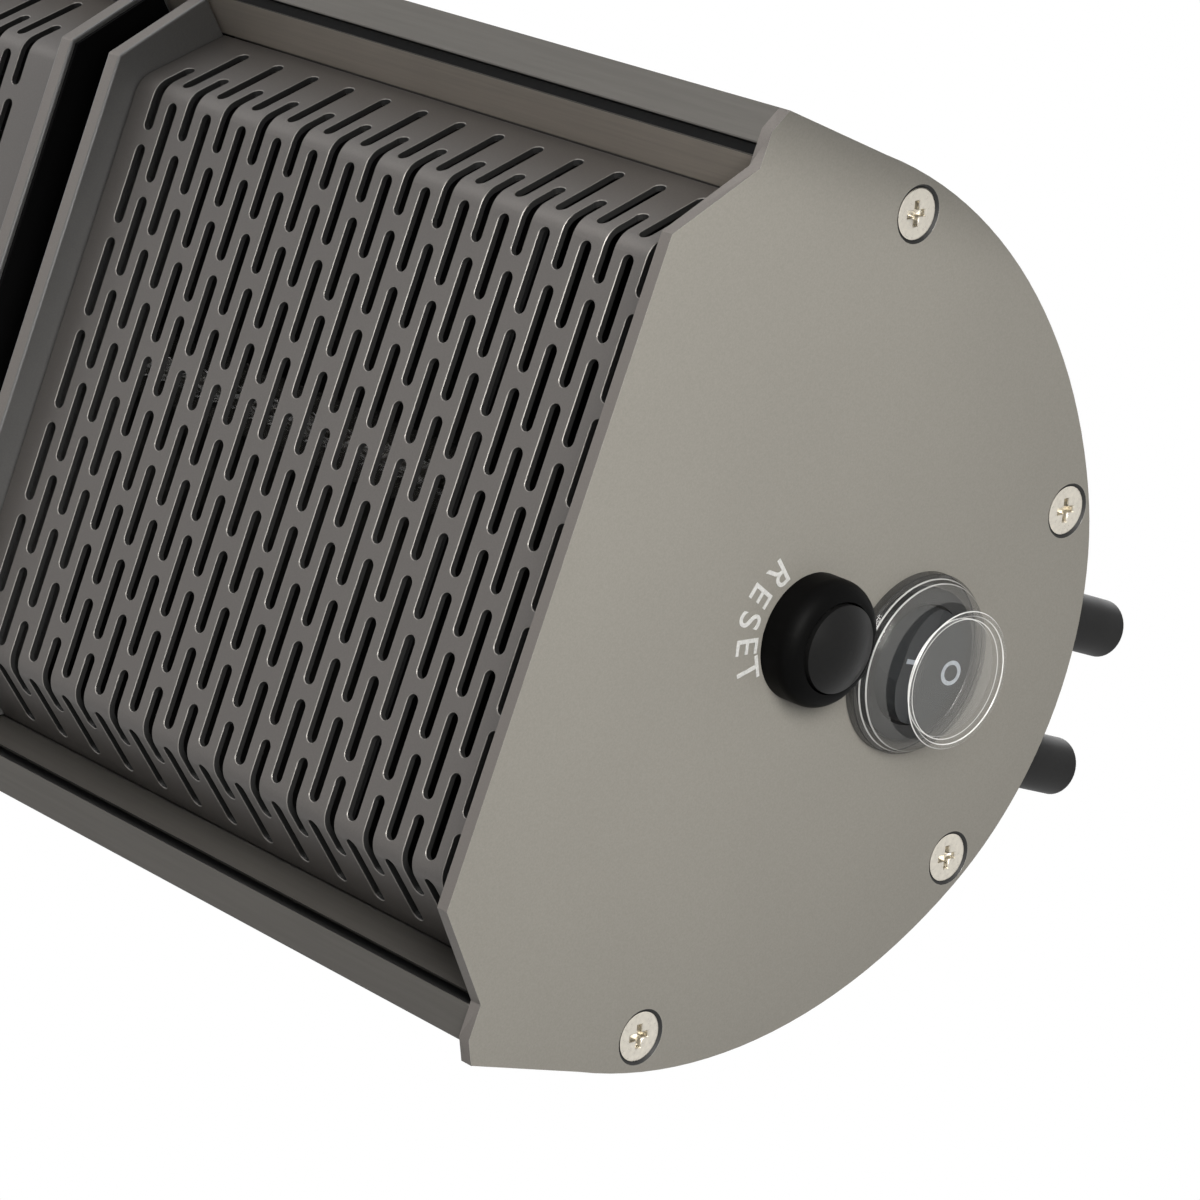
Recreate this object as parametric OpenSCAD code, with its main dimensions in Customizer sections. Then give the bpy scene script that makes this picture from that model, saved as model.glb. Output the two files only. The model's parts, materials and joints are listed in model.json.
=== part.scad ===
// Infrared heater bar with four slotted windows, a domed back and its controls on one end plate.
// Millimetres. X runs along the bar towards the controls, the windows face -Y and the back is +Y.
// The origin lies midway between the tips of the four rear posts.
// Sections are drawn as [across, depth] points, with the plates' front edges at depth 0, and the
// module in_frame() turns depth into +Y and across into -Z.

/* [Body] */
// Clear length of one grille window between its two plates
window_len = 118.1; // [110:0.1:130]
// Width over the two outer corners of the front lips
body_w = 135.6; // [132:0.2:142]
// Depth from the plates' front edges to the crown of the back
body_d = 113.5; // [110:0.5:120]
// Radius of the crown of the back, as a share of half the width
back_share = 0.811; // [0.76:0.005:0.84]
// How far each side of a plate draws in between its corner and its shoulder
flank_taper = 0.85; // [0.4:0.05:1.4]
// Wall of the housing extrusion
wall = 2; // [1.6:0.1:2.4]

/* [Plates] */
// Thickness of the two end plates
plate_t = 2; // [1.6:0.1:3]
// Thickness of a divider plate
divider_t = 2.8; // [2:0.1:3.2]
// Dark gap between the two plates of a divider
divider_gap = 9.2; // [7:0.1:12]
// Distance from the body's side to the end of a plate's straight front edge
front_in = 20.6; // [19.8:0.1:22]
// Run of the plate's slanted shoulder across the width
bevel_run = 12; // [11:0.1:13]
// Depth from the front edge to the lip face
lip_z = 12.1; // [11.5:0.1:13]

/* [Lip] */
// Width of the flat lip face
lip_w = 5.5; // [5:0.1:6]
// Width of the groove beside the lip face
groove_w = 1.6; // [1.4:0.1:2]
// Depth of that groove
groove_d = 5.2; // [4:0.1:5.4]
// Run of the slanted inner wall across the width
slant_run = 5.1; // [4.6:0.1:5.6]
// Drop of the slanted inner wall
slant_drop = 6.1; // [5.6:0.1:6.6]

// How much further in than the upper lip the lower one lies, so that the plates stand over it
low_in = 2.4; // [0:0.1:2.6]

/* [Grille] */
// Depth of the grille's flat face behind the plates' front edges
grille_z = 4.8; // [4.2:0.1:5.8]
// Run of the grille's sloping sides across the width
slope_run = 10.3; // [9.6:0.1:11]
// Sheet thickness of the grille
sheet_t = 1; // [0.8:0.1:1.4]
// Outer radius of the grille's two long bends
bend_r = 4; // [2:0.2:5]
// Length of one slot along the sheet
slot_l = 12.4; // [11:0.1:13]
// Width of one slot
slot_w = 2.1; // [1.6:0.1:2.4]
// Distance from one slot column to the next
col_pitch = 4.152; // [4:0.004:4.6]
// Distance from one slot to the next in a column
row_pitch = 14.7; // [14.2:0.1:15.5]

/* [Heating] */
// Outer diameter of the quartz tube
tube_d = 12; // [10:0.5:14]
// Distance from the reflector's vertex to the crown of the back
vertex_in = 35.5; // [32:0.5:38]
// Room between the back of the reset breaker and the lamp's cap, for the lead
bay_room = 6; // [5:0.5:14]

/* [Controls] */
// Distance from the rocker switch's centre to the crown of the back
switch_in = 37.1; // [34:0.2:39]
// Distance from the rocker switch's centre to the reset button's
reset_apart = 23.9; // [23.7:0.1:26]
// Hole in the end plate for the rocker switch
switch_hole_d = 20.2; // [19:0.1:21]
// Outer diameter of the clear switch cover
cover_d = 27.4; // [26.6:0.1:28]
// How far the clear cover stands out of the end plate
cover_out = 9.4; // [8.6:0.2:11]
// Foot diameter of the rubber boot round the reset button
boot_d = 18.9; // [18.6:0.1:20]
// Travel of the reset button
reset_travel = 2; // [1:0.1:2.2]
// Tilt of the rocker from its middle to either side
rocker_tilt = 9; // [6:1:10]

/* [Mounting] */
// Diameter of a rear stand-off post
post_d = 9; // [8.4:0.2:11]
// Distance between the two posts of a pair
post_gap = 22.6; // [20:0.2:28]
// Distance of the posts from the outer face of the end plate
post_inset = 6.5; // [6.5:0.1:9]
// How far the post tips stand behind the crown of the back
post_out = 13.1; // [12.6:0.1:18]
// Tapping radius of the threaded hole in a post
post_bore_r = 2.5; // [2:0.1:2.7]
// Depth of that threaded hole
post_bore_l = 12; // [10:0.5:14]
// How far the cable gland stands out of the supply end plate
gland_out = 18; // [15:0.5:22]

/* [Hidden] */
$fn = 64;

// Clearances and cutting overrun
fit = 0.05;            // radial play of a part that turns or slides in a hole
slack = 0.1;           // radial room of a fixed part in its hole
gap = 0.2;             // between sheet pieces that lie on each other
room = 0.3;            // between the edges of neighbouring pieces
over = 1;              // overrun of a cutting tool

// Lengths along the bar
window_count = 4;      // one named grille for each window
divider_len = 2 * divider_t + divider_gap;
body_len = window_count * window_len + (window_count - 1) * divider_len + 2 * plate_t;
right_x = body_len / 2;                  // outer face of the control end plate
left_x = -right_x;                       // outer face of the supply end plate
inner_right = right_x - plate_t;
inner_left = left_x + plate_t;
function window_x(i) = inner_left + (i - 1) * (window_len + divider_len);

// Section of the domed back: a crown arc and two larger shoulder arcs, tangent at back_turn
back_turn = 35;
half_w = body_w / 2;
back_r = back_share * half_w;
crown_z = body_d - back_r;
shoulder_w = half_w - flank_taper;
shoulder_r = (shoulder_w - back_r * sin(back_turn)) / (1 - sin(back_turn));
shoulder_y = (shoulder_r - back_r) * sin(back_turn);
shoulder_z = crown_z - (shoulder_r - back_r) * cos(back_turn);
tangent_z = crown_z + back_r * cos(back_turn);

// Section of the front: plate corners, lip, groove and slanted wall
corner_w = 3.4;        // small chamfer at the outer corner of a plate
corner_h = 2;
front_y = half_w - front_in;
bevel_y = front_y + bevel_run;
lip_y = half_w - lip_w;
groove_y = lip_y - groove_w;
foot_y = groove_y - slant_run;
foot_z = lip_z + slant_drop;
ledge_z = foot_z + 0.85 * wall;          // back face of the lip block, where the sheets lie

// Grille section and slot pattern
bend_drop = 0.2;       // the grille's side meets its slope this far in front of the lip's foot
flange_w = 4.7;        // width of the flanges that lie on the lip block
edge_margin = 4.5;     // plain border before the first slot column
plain_cols = 2;        // columns left plain beside a divider, at the right of a window
slot_shift = 0.45;     // the slots stand off a window's middle, away from the nearer plain border
slope_shift = 1;       // the slots on the slopes lie this much further out than the rows alone give
grille_y = foot_y - room;
grille_top = foot_z - bend_drop;
fold_y = grille_y - slope_run;
slope_angle = atan2(grille_top - grille_z, slope_run);
strip_t = 0.6;         // sides of the black channel in a divider
strip_in = 0.8;        // the channel's edges stand back this far from the plates' edges
seat_z = ledge_z + gap;
flange_y = grille_y + flange_w;
half_row = row_pitch / 2;
col_half = floor((window_len - 2 * edge_margin) / (2 * col_pitch));
row_fold = floor((fold_y + slot_l / 2) / half_row);

// Reflector, bulkheads and lamp
reflector_t = 0.8;
reflector_z = seat_z + sheet_t + gap;
mouth_in = 5.5;        // the reflector's mouth is this much narrower than the lips' feet
mouth_y = foot_y - mouth_in;
vertex_z = body_d - vertex_in;
focal_len = pow(mouth_y, 2) / (4 * (vertex_z - reflector_z - reflector_t));
bulkhead_t = 1.2;
cap_len = 12;
breaker_depth = 24;
bay_len = breaker_depth + cap_len + bay_room;
bulk_right = inner_right - bay_len;      // faces of the bulkheads towards their bays
bulk_left = inner_left + bay_len;
tube_z = vertex_z - focal_len;
tube_wall = 1;
tube_room = 0.5;       // round the tube in its bulkhead
filament_r = 1.6;
cap_end = 4;           // solid end of a cap behind the tube
cap_r = tube_d / 2 + 2 * tube_wall;
tube_reach = cap_len - cap_end;
holder_t = 8;
holder_side = 5;       // walls of the lamp holder round the cap
holder_top = 4;

// End plate screws, in ports of the extrusion
screw_r = 2;
core_r = 1.65;         // the screw thread's core
head_r = 3.9;
head_h = 1.8;
head_below = 0.25;     // the heads lie this far under the plate's face
screw_len = 16;
sink_r = 4.25;
sink_h = sink_r - screw_r;
recess_turn = 20;
port_r = 4.2;
port_in = 6.9;         // centre of a side port, from the body's full width
port_rise = 10.4;      // and behind the shoulder's lowest point
port_below = 4.9;      // centre of a crown port, under the crown's surface
port_turn = 33.3;
port_reach = back_r - port_below;
port_low = [half_w - port_in, shoulder_z + port_rise];
port_high = [port_reach * sin(port_turn), crown_z + port_reach * cos(port_turn)];
ports = [port_low, port_high, [-port_low[0], port_low[1]], [-port_high[0], port_high[1]]];

// Rocker switch and its cover
switch_z = body_d - switch_in;
bezel_w = 1.4;
bezel_h = 1.6;
bezel_r = switch_hole_d / 2 + bezel_w;
rocker_r = switch_hole_d / 2 - bezel_w;
rocker_room = 0.5;     // round the rocker in its body
rocker_h = 3.4;        // height of the rocker's middle over its pivot
rocker_dish = 1.1;     // the rocker's ends stand this much higher
rocker_foot = 3;       // depth of the rocker under its pivot
pivot_in = 1;          // depth of the pivot under the plate's face
pivot_x = right_x - pivot_in;
pin_r = 0.8;
pin_out = 0.9;         // the pins' reach beyond the rocker's side
pin_reach = rocker_r + pin_out;
switch_depth = 17;
switch_floor = 6;
cover_t = 0.8;
cup_r = 10.4;          // the cover's upright cup
cover_foot = 1.6;      // height of the cover's foot ring
cover_rim = 0.6;       // the cover's top lies this far under its rim

// Reset breaker, button and boot
reset_z = switch_z - reset_apart;
neck_r = 5.5;
button_r = 6.5;
button_stem_r = 3;
button_t = 1.5;
button_dome_r = 12;
button_rise = 2;       // the domed face over the button's edge
button_edge = 0.4;     // the button's edge over the boot's rim
stem_reach = 4;        // the stem's reach under the plate's face at rest
boot_h = 6;
boot_round = 2.9;      // radius of the boot's rounded shoulder
press_room = 0.5;      // left between the button and the neck at full travel
neck_top = boot_h + button_edge - button_t - reset_travel - press_room;
breaker_w = 16;

// Rear posts and nuts
post_top = body_d + post_out;
post_neck_r = 3;
nut_r = 5;
nut_h = 4;
neck_show = 1;         // the neck's end under its nut
nut_top = crown_z + sqrt(pow(back_r - wall, 2) - pow(post_gap / 2 + nut_r, 2)) - fit;

// Terminal block on a foot from the supply bulkhead
block = [16, 34, 14];
block_back = 10;       // room for the leads between block and bulkhead
block_foot = 2;
block_side = -6;       // the block's middle, off the bar's centre plane
block_x = bulk_left - block_back - block[0];
block_in = 27.5;       // from the block's front to the crown
block_z = body_d - block_in;
way_z = block_z + block[2] / 2;
ways = 3;
way_screw_r = 1.8;
way_floor = 1;
function way_y(n) = block_side + block[1] * ((n + 0.5) / ways - 0.5);

// Cable gland in the supply end plate
gland_r = 8;
gland_z = switch_z;
gland_inside = 6;      // the thread's reach into the bay
gland_hex_r = 11;
gland_hex_t = 5;
gland_cap_t = 4;       // the dome nut's tapered end
gland_cap_r = 9;
gland_mouth_r = 6.5;
gland_nut_t = 4;
seal_r = 5;
seal_bore_r = 3.4;
seal_in = 0.5;
seal_len = 12;

// Earth stud in the supply bulkhead
earth_y = 38;
earth_in = 33.5;       // from the stud to the crown
earth_z = body_d - earth_in;
earth_r = 2;
earth_len = 9;
earth_head_r = 3.6;
earth_head_t = 2;
earth_nut_r = 4;
earth_nut_t = 3.2;
earth_nut_in = 1.2;

// Insulated leads
lead_r = 1.2;
elbow_r = 1.15 * lead_r;
lead_room = 0.4;       // round the lead in its bulkhead hole
lead_tail = 3;         // straight end of a lead at a terminal
lead_step = 4;         // distance between the planes of crossing leads
lead_side = 4;         // the switch terminals, off the centre plane
lead_y = 26;
lead_behind = 10;      // depth of the long lead behind the reflector's vertex
lead_z = vertex_z + lead_behind;

// Turns depth into +Y and puts the tips of the rear posts on the plane y = 0
module in_frame() {
    translate([0, -post_top, 0]) rotate([-90, 0, 0]) children();
}

// Section of the domed back, drawn in by w
module dome(w) {
    intersection() {
        translate([0, crown_z]) circle(r = back_r - w, $fn = 128);
        translate([-half_w, tangent_z - over]) square([body_w, back_r]);
    }
    intersection() {
        translate([-shoulder_y, shoulder_z]) circle(r = shoulder_r - w, $fn = 128);
        translate([shoulder_y, shoulder_z]) circle(r = shoulder_r - w, $fn = 128);
        translate([-half_w, shoulder_z]) square([body_w, tangent_z - shoulder_z]);
    }
}

// The mirror image of an outline, in the same sense of turning
function mirrored(points) = [for (n = [len(points) - 1 : -1 : 0]) [-points[n][0], points[n][1]]];

// A half outline on the positive side, closed with its mirror image
module mirrored_outline(half) {
    polygon(concat(half, mirrored(half)));
}

module along_x(x0, len) {
    translate([x0, 0, 0]) rotate([90, 0, 90]) linear_extrude(len) children();
}

// A round bar, hole or cone along X, at a depth z and off the centre plane by y
module bar_x(x0, len, z, r, r2 = -1, y = 0) {
    translate([x0, y, z]) rotate([0, 90, 0]) cylinder(h = len, r1 = r, r2 = r2 < 0 ? r : r2);
}

// A hexagonal bar along X
module hex_x(x0, len, z, r, y = 0) {
    translate([x0, y, z]) rotate([0, 90, 0]) cylinder(h = len, r = r, $fn = 6);
}

module plate_outline() {
    dome(0);
    mirrored_outline([[front_y, 0], [bevel_y, lip_z], [half_w - corner_w, lip_z],
        [half_w, lip_z + corner_h], [shoulder_w, shoulder_z], [shoulder_w - wall / 2, shoulder_z + over]]);
}

// A grooved lip that lies in by d, with its slanted inner wall and the side above it
function lip_points(d) = [[half_w - d, lip_z + corner_h], [shoulder_w, shoulder_z],
    [shoulder_w - wall / 4, shoulder_z + over], [shoulder_w - wall * 3 / 4, shoulder_z + over],
    [shoulder_w - wall, shoulder_z], [half_w - d - wall, ledge_z], [foot_y, ledge_z], [foot_y, foot_z],
    [groove_y - d, lip_z], [groove_y - d, lip_z + groove_d], [lip_y - d, lip_z + groove_d],
    [lip_y - d, lip_z]];

// Space inside the extrusion, drawn in by a clearance c
module cavity_outline(c) {
    difference() {
        union() {
            dome(wall + c);
            mirrored_outline([[half_w - low_in - wall - c, reflector_z + reflector_t],
                [shoulder_w - wall - c, shoulder_z], [shoulder_w - 2 * wall - c, shoulder_z + over]]);
        }
        for (p = ports) translate(p) circle(r = port_r + c);
    }
}

// The places of the rear posts, in pairs near both ends
module at_posts() {
    for (x = [left_x + post_inset, right_x - post_inset], y = [-post_gap / 2, post_gap / 2])
        translate([x, y, 0]) children();
}

module housing() color([0.45, 0.43, 0.41]) in_frame() {
    len = body_len - 2 * plate_t;
    difference() {
        union() {
            along_x(inner_left, len) difference() {
                dome(0);
                dome(wall);
            }
            along_x(inner_left, len) polygon(lip_points(low_in));
            along_x(inner_left, len) polygon(mirrored(lip_points(0)));
            for (p = ports) bar_x(inner_left, len, p[1], port_r, y = p[0]);
        }
        for (p = ports) bar_x(inner_left - over, len + 2 * over, p[1], core_r + fit, y = p[0]);
        at_posts() translate([0, 0, crown_z]) cylinder(h = body_d, r = post_neck_r + slack);
    }
}

// End plates: the countersinks open towards the side s
module screw_holes(x_face, s) {
    for (p = ports) translate([x_face, p[0], p[1]]) rotate([0, -90 * s, 0]) {
        translate([0, 0, -over]) cylinder(h = plate_t + 2 * over, r = screw_r + slack);
        cylinder(h = sink_h, r1 = sink_r, r2 = screw_r);
        translate([0, 0, -over]) cylinder(h = 1.01 * over, r = sink_r);
    }
}

module control_end_plate() color([0.52, 0.52, 0.51]) in_frame() difference() {
    along_x(inner_right, plate_t) plate_outline();
    screw_holes(right_x, 1);
    bar_x(inner_right - over, plate_t + 2 * over, switch_z, switch_hole_d / 2);
    bar_x(inner_right - over, plate_t + 2 * over, reset_z, neck_r + slack);
}

module supply_end_plate() color([0.52, 0.52, 0.51]) in_frame() difference() {
    along_x(left_x, plate_t) plate_outline();
    screw_holes(left_x, -1);
    bar_x(left_x - over, plate_t + 2 * over, gland_z, gland_r + slack);
}

// One countersunk cross-recess screw with its head at x = 0 and its shank towards -X
module plate_screw() {
    recess = 0.92 * head_r;
    difference() {
        rotate([0, -90, 0]) {
            cylinder(h = head_h, r1 = head_r, r2 = core_r);
            cylinder(h = screw_len, r = core_r);
        }
        for (a = [recess_turn, recess_turn + 90]) rotate([a, 0, 0])
            translate([-0.7 * head_h, -recess / 2, -recess / 8]) cube([head_h, recess, recess / 4]);
    }
}

module end_plate_screws() color([0.82, 0.80, 0.76]) in_frame() {
    for (p = ports) {
        translate([right_x - head_below, p[0], p[1]]) plate_screw();
        translate([left_x + head_below, p[0], p[1]]) rotate([0, 0, 180]) plate_screw();
    }
}

// Grille: a bent sheet whose slots run on over the bends
module slot_2d(x, y0, y1) {
    r = slot_w / 2;
    translate([x - r, y0 + r]) square([slot_w, y1 - y0 - slot_w]);
    for (y = [y0 + r, y1 - r]) translate([x, y]) circle(r = r, $fn = 32);
}

// A point on the slope, at a distance along it from the fold and at a height h outside its face
function on_slope(along, h) = [fold_y + along * cos(slope_angle) + h * sin(slope_angle),
    grille_z + along * sin(slope_angle) - h * cos(slope_angle)];

// One bend's face, at a depth t under the outer face, from the flat towards the slope
bend_shares = [0, 1 / 6, 1 / 3, 1 / 2, 2 / 3, 5 / 6, 1];
bend_y = fold_y - bend_r * tan(slope_angle / 2);
function bend(t) = [for (share = bend_shares) [bend_y + (bend_r - t) * sin(share * slope_angle),
    grille_z + bend_r - (bend_r - t) * cos(share * slope_angle)]];

module grille_section() {
    inner_y = grille_y - sheet_t;
    inner_bend = bend(sheet_t);
    meet_z = inner_bend[len(inner_bend) - 1][1] + (inner_y - inner_bend[len(inner_bend) - 1][0]) * tan(slope_angle);
    inside = concat([[inner_y, seat_z + sheet_t], [inner_y, meet_z]],
        [for (n = [len(inner_bend) - 1 : -1 : 0]) inner_bend[n]]);
    outside = concat(bend(0), [[grille_y, grille_top], [grille_y, seat_z], [flange_y, seat_z],
        [flange_y, seat_z + sheet_t]]);
    polygon(concat(outside, inside, mirrored(inside), mirrored(outside)));
}

// The band that a slot over a bend cuts out of the section, between its round ends
module bend_cut(low, high) {
    polygon([[low, grille_z - over], [fold_y, grille_z - over], on_slope(0, over), on_slope(high, over),
        on_slope(high, -sheet_t - over), [bend_y, grille_z + sheet_t + over], [low, grille_z + sheet_t + over]]);
}

module grille(i) color([0.43, 0.41, 0.39]) in_frame() {
    last = i == window_count;
    x_mid = window_x(i) + window_len / 2 + (last ? slot_shift : -slot_shift);
    cols = [-col_half : col_half - (last ? 0 : plain_cols)];
    bent = [for (c = cols) if (abs(c + col_half + row_fold) % 2 == 0) c * col_pitch];
    whole = [for (c = cols) if (abs(c + col_half + row_fold) % 2 == 1) c * col_pitch];
    bend_low = row_fold * half_row - slot_l / 2 + slot_w / 2;
    bend_high = row_fold * half_row + slot_l / 2 - slot_w / 2 - fold_y + slope_shift;
    side_low = (row_fold + 1) * half_row - slot_l / 2 - fold_y + slope_shift;
    narrow = 0.97 * slot_w;
    difference() {
        along_x(window_x(i) + gap, window_len - 2 * gap) grille_section();
        translate([x_mid, 0, grille_z - over]) linear_extrude(sheet_t + 2 * over) {
            for (c = cols, k = [1 - row_fold : row_fold - 1])
                if (abs(c + col_half + k) % 2 == 0)
                    slot_2d(c * col_pitch, k * half_row - slot_l / 2, k * half_row + slot_l / 2);
            for (x = bent, s = [-1, 1]) translate([x, s * bend_low]) circle(r = slot_w / 2, $fn = 32);
        }
        for (m = [0, 1]) mirror([0, m, 0]) {
            for (x = bent) along_x(x_mid + x - narrow / 2, narrow) bend_cut(bend_low, bend_high);
            translate([x_mid, fold_y, grille_z]) rotate([slope_angle, 0, 0])
                translate([0, 0, -over]) linear_extrude(sheet_t + 2 * over) {
                    for (x = bent) translate([x, bend_high]) circle(r = slot_w / 2, $fn = 32);
                    for (x = whole) slot_2d(x, side_low, side_low + slot_l);
                }
        }
    }
}

// Divider: two plates with a dark strip between them. Plates 1, 3 and 5 close a window on its
// right, and plates 2, 4 and 6 open the next one.
module divider_plate(i) color([0.52, 0.52, 0.51]) in_frame() {
    d = ceil(i / 2);
    x = window_x(d) + window_len + (i % 2 == 1 ? 0 : divider_t + divider_gap);
    along_x(x, divider_t) divider_outline(0);
}

// A divider plate's outline, drawn in by c. Its slanted shoulders run on to the slanted walls.
module divider_outline(c) {
    polygon(concat(divider_half(c, low_in), mirrored(divider_half(c, 0))));
}

// Half of that outline, beside a lip that lies in by d
function divider_half(c, d) =
    let (wall_y = 1.3 * room + 1.3 * c,
        share = (groove_y - d - wall_y - bevel_y + 1.4 * c)
            / (bevel_run * slant_drop / lip_z + slant_run - d))
    [[front_y - 0.4 * c, c],
        [bevel_y - 1.4 * c + share * slant_drop * bevel_run / lip_z, lip_z + share * slant_drop],
        [foot_y - wall_y, foot_z], [foot_y - wall_y, seat_z + sheet_t]];

// A black channel lines the space between the plates of a divider
module divider_strip(d) color([0.08, 0.08, 0.08]) in_frame() {
    x = window_x(d) + window_len + divider_t;
    difference() {
        along_x(x, divider_gap) divider_outline(strip_in);
        translate([x + strip_t, -half_w, -over]) cube([divider_gap - 2 * strip_t, body_w, seat_z + over]);
    }
    translate([x, -flange_y, seat_z]) cube([divider_gap, 2 * flange_y, sheet_t]);
}

// Reflector: a parabola in straight folds, with a flange along each edge
fold_shares = [0, 0.1, 0.2, 0.3, 0.4, 0.5, 0.6, 0.7, 0.8, 0.9, 1];
function parabola(t) = [t * mouth_y, vertex_z - pow(t * mouth_y, 2) / (4 * focal_len)];
module reflector() color([0.78, 0.78, 0.77]) in_frame() {
    rise = 1.1 * reflector_t;
    along_x(bulk_left + bulkhead_t + gap, bulk_right - bulk_left - 2 * bulkhead_t - 2 * gap) {
        inside = concat([for (t = fold_shares) parabola(t)], [[mouth_y, reflector_z]]);
        outside = concat([for (t = fold_shares) parabola(t) + [t * reflector_t, rise]],
            [[mouth_y + 1.5 * reflector_t, reflector_z + reflector_t],
            [flange_y, reflector_z + reflector_t], [flange_y, reflector_z]]);
        last = len(inside) - 1;
        far = len(outside) - 1;
        polygon(concat([for (n = [last : -1 : 1]) [-inside[n][0], inside[n][1]]], inside,
            [for (n = [far : -1 : 1]) outside[n]], [for (p = outside) [-p[0], p[1]]]));
    }
}

// Bulkheads close the reflector's ends and carry the lamp holders
module bulkhead(x) {
    along_x(x, bulkhead_t) difference() {
        cavity_outline(room);
        translate([0, tube_z]) circle(r = tube_d / 2 + tube_room);
        translate([lead_y, lead_z]) circle(r = lead_r + lead_room);
        if (x < 0) translate([earth_y, earth_z]) circle(r = earth_r + slack);
    }
}
module control_bulkhead() color([0.70, 0.70, 0.69]) in_frame() bulkhead(bulk_right - bulkhead_t);
module supply_bulkhead() color([0.70, 0.70, 0.69]) in_frame() bulkhead(bulk_left);

// Lamp: quartz tube, filament and ceramic caps in holders
module quartz_tube() color([0.9, 0.85, 0.8, 0.6]) in_frame() difference() {
    len = bulk_right - bulk_left + 2 * tube_reach;
    bar_x(bulk_left - tube_reach, len, tube_z, tube_d / 2);
    bar_x(bulk_left - tube_reach - over, len + 2 * over, tube_z, tube_d / 2 - tube_wall);
}

module heating_filament() color([0.25, 0.22, 0.2]) in_frame()
    bar_x(bulk_left - tube_reach, bulk_right - bulk_left + 2 * tube_reach, tube_z, filament_r);

module lamp_cap() difference() {
    bar_x(0, cap_len, tube_z, cap_r);
    bar_x(-over, tube_reach + over, tube_z, tube_d / 2 + fit);
}
module lamp_caps() color([0.92, 0.90, 0.85]) in_frame() {
    translate([bulk_right, 0, 0]) lamp_cap();
    translate([bulk_left, 0, 0]) mirror([1, 0, 0]) lamp_cap();
}

module lamp_holder() difference() {
    translate([gap, -cap_r - holder_side, tube_z - cap_r - holder_top])
        cube([holder_t, 2 * (cap_r + holder_side), 2 * (cap_r + holder_top)]);
    bar_x(-over, holder_t + 3 * over, tube_z, cap_r + fit);
}
module lamp_holders() color([0.85, 0.84, 0.80]) in_frame() {
    translate([bulk_right, 0, 0]) lamp_holder();
    translate([bulk_left, 0, 0]) mirror([1, 0, 0]) lamp_holder();
}

// Rocker switch: body with bezel, rocker on its pins and a clear cover
module switch_body() color([0.07, 0.07, 0.07]) in_frame() difference() {
    union() {
        bar_x(right_x - switch_depth, switch_depth + bezel_h / 2, switch_z, switch_hole_d / 2 - slack);
        bar_x(right_x, bezel_h, switch_z, bezel_r);
    }
    bar_x(right_x - switch_depth + switch_floor, switch_depth, switch_z, rocker_r + rocker_room);
    translate([pivot_x, 0, switch_z]) rotate([90, 0, 0])
        cylinder(h = 2 * (pin_reach + slack), r = pin_r + fit, center = true);
}

// At rest the end away from the windows is pressed in, which is off
module switch_rocker() color([0.1, 0.1, 0.1]) in_frame() {
    end_r = rocker_r - rocker_room;
    end_h = rocker_h + rocker_dish;
    translate([pivot_x, 0, switch_z]) rotate([0, -rocker_tilt, 0]) {
        intersection() {
            translate([-rocker_foot - over, 0, 0]) rotate([0, 90, 0])
                cylinder(h = rocker_foot + end_h + 2 * over, r = rocker_r);
            rotate([90, 0, 0]) linear_extrude(3 * rocker_r, center = true)
                polygon([[-rocker_foot, -0.55 * rocker_r], [-rocker_foot, 0.55 * rocker_r], [0, rocker_r],
                    [end_h, end_r], [rocker_h, 0], [end_h, -end_r], [0, -rocker_r]]);
        }
        rotate([90, 0, 0]) cylinder(h = 2 * pin_reach, r = pin_r, center = true);
    }
}

module switch_cover() color([0.9, 0.9, 0.9, 0.35]) in_frame() {
    foot_r = cover_d / 2;
    ring_r = bezel_r + slack;
    inner_r = cup_r - cover_t - cover_rim;
    translate([right_x, 0, switch_z]) rotate([0, 90, 0]) rotate_extrude() polygon([
        [ring_r, fit], [foot_r, fit], [foot_r, cover_foot], [foot_r - cover_rim, 1.4 * cover_foot],
        [foot_r - 1.25 * cover_t, 2 * cover_foot], [cup_r + 1.25 * cover_t, 0.46 * cover_out],
        [cup_r, 0.53 * cover_out], [cup_r, cover_out], [cup_r - cover_t, cover_out],
        [cup_r - cover_t, cover_out - cover_rim], [0, cover_out - cover_rim],
        [0, cover_out - cover_rim - cover_t], [inner_r, cover_out - cover_rim - cover_t],
        [inner_r, 0.45 * cover_out], [ring_r - cover_t / 2, 0.35 * cover_out], [ring_r, 1.5 * bezel_h]]);
}

// Reset: breaker with a threaded neck, plunger and rubber boot
module reset_breaker() color([0.12, 0.12, 0.12]) in_frame() difference() {
    union() {
        translate([inner_right - breaker_depth - gap, -breaker_w / 2, reset_z - breaker_w / 2])
            cube([breaker_depth, breaker_w, breaker_w]);
        bar_x(inner_right - over, plate_t + over + neck_top, reset_z, neck_r);
    }
    bar_x(right_x - 2 * stem_reach, breaker_depth, reset_z, button_stem_r + fit);
}

module reset_button() color([0.09, 0.09, 0.09]) in_frame() {
    face = boot_h + button_edge;
    translate([right_x, 0, reset_z]) rotate([0, 90, 0]) {
        translate([0, 0, -stem_reach]) cylinder(h = stem_reach + face - button_t / 2, r = button_stem_r);
        translate([0, 0, face - button_t]) cylinder(h = button_t, r = button_r);
        intersection() {
            translate([0, 0, face - button_t / 2]) cylinder(h = button_r, r = button_r);
            translate([0, 0, face + button_rise - button_dome_r]) sphere(r = button_dome_r, $fn = 96);
        }
    }
}

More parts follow.
